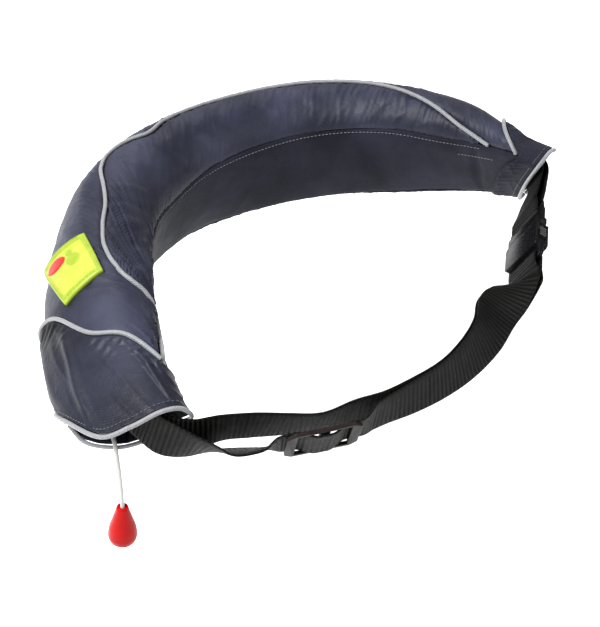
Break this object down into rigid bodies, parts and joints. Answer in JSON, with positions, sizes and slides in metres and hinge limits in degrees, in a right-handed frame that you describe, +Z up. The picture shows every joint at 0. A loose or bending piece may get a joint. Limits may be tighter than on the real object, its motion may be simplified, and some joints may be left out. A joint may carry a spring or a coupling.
{
  "type": "inflatable belt pack",
  "caption": "Padded inflatable pouch curved round the back of the waist, closed in front by a webbing belt with slider and side-release buckle, with a pull cord and handle.",
  "frame": {"origin": "centre of the waist opening, level with the middle of the belt", "axes": "+Z up along the wearer, +Y to the back of the waist where the pouch lies, +X to the buckle's side"},
  "size_m": [0.5364, 0.4275, 0.1954],
  "materials": {
    "cover_cloth": "slate navy nylon, slight sheen",
    "back_cloth": "dark navy nylon, matte",
    "bladder_cloth": "coated nylon",
    "piping": "light grey reflective cord",
    "webbing": "black ribbed webbing",
    "badge": "lime moulded rubber, raised rim",
    "slider": "brown-grey satin",
    "buckle": "black satin",
    "cord": "off-white braided cord",
    "handle": "glossy red"
  },
  "bodies": {
    "root": {"folded_bladder": "bladder_cloth", "outer_cover": "cover_cloth", "top_gusset": "cover_cloth", "back_panel": "back_cloth", "left_sleeve": "cover_cloth", "right_sleeve": "cover_cloth", "long_piping": "piping", "left_hem_piping": "piping", "right_hem_piping": "piping", "left_mouth_piping": "piping", "right_mouth_piping": "piping", "badge": "badge", "belt_webbing": "webbing", "loop_webbing": "webbing", "strap_slider": "slider", "buckle_plug": "buckle", "buckle_socket": "buckle", "pull_cord": "cord", "pull_handle": "handle"}
  },
  "joints": []
}
